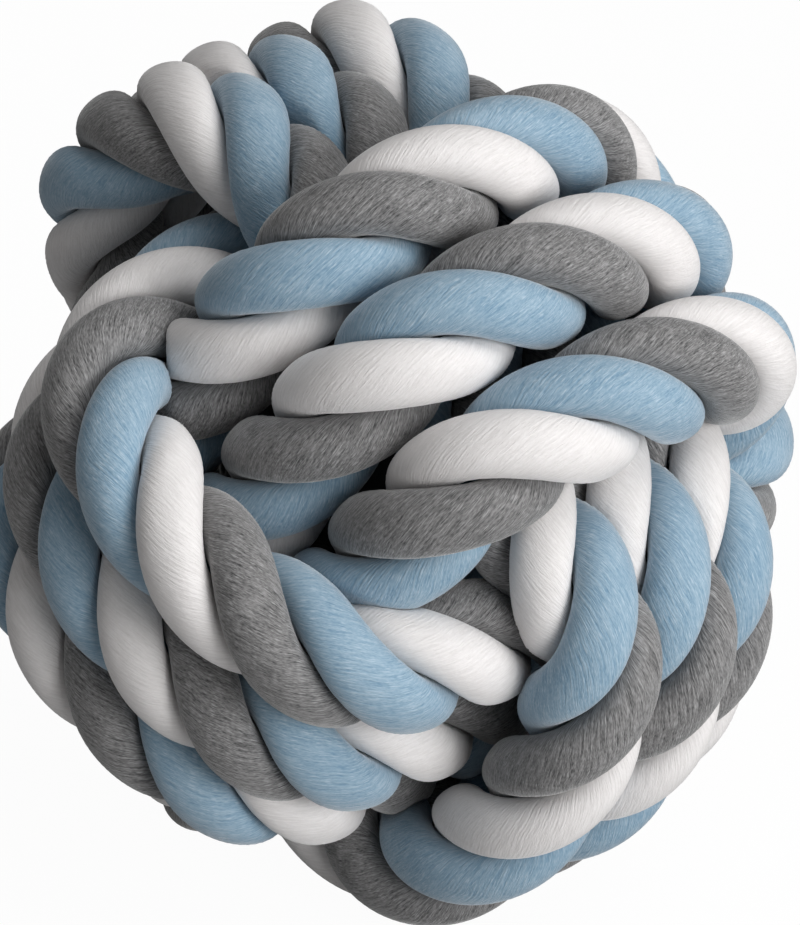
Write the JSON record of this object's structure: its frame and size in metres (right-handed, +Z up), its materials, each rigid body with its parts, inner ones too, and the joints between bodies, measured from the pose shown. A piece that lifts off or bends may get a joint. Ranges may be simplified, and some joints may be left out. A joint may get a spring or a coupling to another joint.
{
  "type": "rope ball dog toy",
  "caption": "Round dog toy of thick three-strand cotton rope in blue, white and grey, tied as a monkey's fist knot around a solid core, for throwing, tugging and chewing",
  "frame": {"origin": "on the ground under the middle of the ball", "axes": "+Z up as the ball lies at rest; X along the stack of the third winding's turns; -Y and -X towards the viewer of the picture"},
  "size_m": [0.1198, 0.1206, 0.1156],
  "materials": {
    "mixed_cotton": "soft matt cotton, blue, white and grey strands seen together",
    "blue_cotton": "soft matt cotton yarn, pale dusty blue",
    "white_cotton": "soft matt cotton yarn, off-white",
    "grey_cotton": "soft matt cotton yarn, mottled mid grey",
    "whipping_twine": "waxed twine",
    "core_rubber": "matt dark rubber"
  },
  "bodies": {
    "root": {"first_winding": "mixed_cotton", "second_winding": "mixed_cotton", "third_winding": "mixed_cotton", "core_ball": "core_rubber", "start_whipping": "whipping_twine", "end_whipping": "whipping_twine"}
  },
  "joints": []
}
